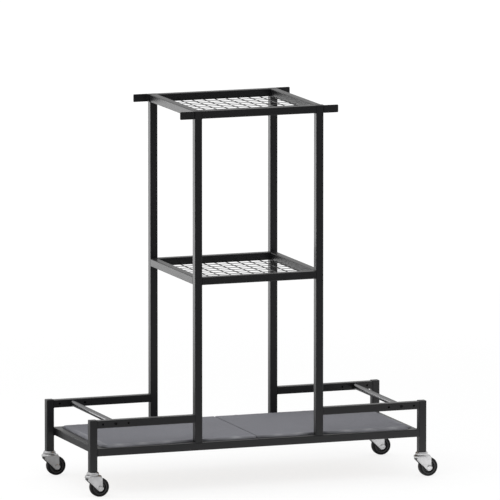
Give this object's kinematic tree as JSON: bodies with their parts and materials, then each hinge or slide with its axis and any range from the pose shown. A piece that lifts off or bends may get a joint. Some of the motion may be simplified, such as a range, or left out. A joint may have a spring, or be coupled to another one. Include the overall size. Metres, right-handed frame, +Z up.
{
  "type": "ski rack stand",
  "caption": "Free-standing ski and snowboard rack on swivel casters: long base with a padded deck, guard rails and stop rods, and a central tower with mesh shelves.",
  "frame": {"origin": "on the floor, under the middle of the rack as it stands with its casters trailing towards +X; the middle of the frame itself is 12.75 mm towards -X from it", "axes": "+X along the rack to the right, +Y from the front to the rear, +Z up"},
  "size_m": [1.2106, 0.485, 1.234],
  "materials": {
    "powder_coat": "satin black powder coat with a fine texture",
    "zinc_plate": "bright zinc plate on pressed sheet",
    "bright_rod": "drawn and ground round bar",
    "black_oxide": "black oxide on turned steel",
    "ball_steel": "polished bearing steel",
    "deck_wood": "sanded plywood, bare",
    "deck_fabric": "matte grey-violet woven cloth",
    "plug_plastic": "fine-grained moulded polyethylene",
    "wheel_plastic": "moulded polypropylene",
    "tyre_rubber": "soft black tread with a fine moulded skin"
  },
  "bodies": {
    "rack": {"main_post_fl": "powder_coat", "main_post_fr": "powder_coat", "main_post_rl": "powder_coat", "main_post_rr": "powder_coat", "end_post_fl": "powder_coat", "end_post_fr": "powder_coat", "end_post_rl": "powder_coat", "end_post_rr": "powder_coat", "guard_rail_fl": "powder_coat", "guard_rail_fr": "powder_coat", "guard_rail_rl": "powder_coat", "guard_rail_rr": "powder_coat", "ski_stop_fl": "powder_coat", "ski_stop_fr": "powder_coat", "ski_stop_rl": "powder_coat", "ski_stop_rr": "powder_coat", "caster_stem_fl": "zinc_plate", "caster_stem_fr": "zinc_plate", "caster_stem_rl": "zinc_plate", "caster_stem_rr": "zinc_plate", "base_rail_front": "powder_coat", "base_rail_rear": "powder_coat", "mid_rail_front": "powder_coat", "mid_rail_rear": "powder_coat", "top_rail_front": "powder_coat", "top_rail_rear": "powder_coat", "end_rail_left": "powder_coat", "end_rail_right": "powder_coat", "mid_rail_left": "powder_coat", "mid_rail_right": "powder_coat", "top_rail_left": "powder_coat", "top_rail_right": "powder_coat", "stop_rod_left": "bright_rod", "stop_rod_right": "bright_rod", "deck_board_left": "deck_wood", "deck_board_right": "deck_wood", "deck_cloth_left": "deck_fabric", "deck_cloth_right": "deck_fabric", "cross_bar": "powder_coat", "rod_bolts": "black_oxide", "mid_mesh": "powder_coat", "top_mesh": "powder_coat", "tube_plugs": "plug_plastic", "race_balls": "ball_steel"},
    "swivel_fl": {"fork_fl": "zinc_plate", "axle_fl": "zinc_plate"},
    "wheel_fl": {"hub_fl": "wheel_plastic", "tyre_fl": "tyre_rubber"},
    "swivel_fr": {"fork_fr": "zinc_plate", "axle_fr": "zinc_plate"},
    "wheel_fr": {"hub_fr": "wheel_plastic", "tyre_fr": "tyre_rubber"},
    "swivel_rl": {"fork_rl": "zinc_plate", "axle_rl": "zinc_plate"},
    "wheel_rl": {"hub_rl": "wheel_plastic", "tyre_rl": "tyre_rubber"},
    "swivel_rr": {"fork_rr": "zinc_plate", "axle_rr": "zinc_plate"},
    "wheel_rr": {"hub_rr": "wheel_plastic", "tyre_rr": "tyre_rubber"}
  },
  "joints": [
    {"name": "caster_swivel_fl", "type": "hinge", "parent": "rack", "child": "swivel_fl", "pos_m": [-0.57775, -0.215, 0.07], "axis": [0, 0, 1], "continuous": true},
    {"name": "wheel_spin_fl", "type": "hinge", "parent": "swivel_fl", "child": "wheel_fl", "pos_m": [-0.55625, -0.215, 0.0315], "axis": [0, 1, 0], "continuous": true},
    {"name": "caster_swivel_fr", "type": "hinge", "parent": "rack", "child": "swivel_fr", "pos_m": [0.55225, -0.215, 0.07], "axis": [0, 0, 1], "continuous": true},
    {"name": "wheel_spin_fr", "type": "hinge", "parent": "swivel_fr", "child": "wheel_fr", "pos_m": [0.57375, -0.215, 0.0315], "axis": [0, 1, 0], "continuous": true},
    {"name": "caster_swivel_rl", "type": "hinge", "parent": "rack", "child": "swivel_rl", "pos_m": [-0.57775, 0.215, 0.07], "axis": [0, 0, 1], "continuous": true},
    {"name": "wheel_spin_rl", "type": "hinge", "parent": "swivel_rl", "child": "wheel_rl", "pos_m": [-0.55625, 0.215, 0.0315], "axis": [0, 1, 0], "continuous": true},
    {"name": "caster_swivel_rr", "type": "hinge", "parent": "rack", "child": "swivel_rr", "pos_m": [0.55225, 0.215, 0.07], "axis": [0, 0, 1], "continuous": true},
    {"name": "wheel_spin_rr", "type": "hinge", "parent": "swivel_rr", "child": "wheel_rr", "pos_m": [0.57375, 0.215, 0.0315], "axis": [0, 1, 0], "continuous": true}
  ]
}
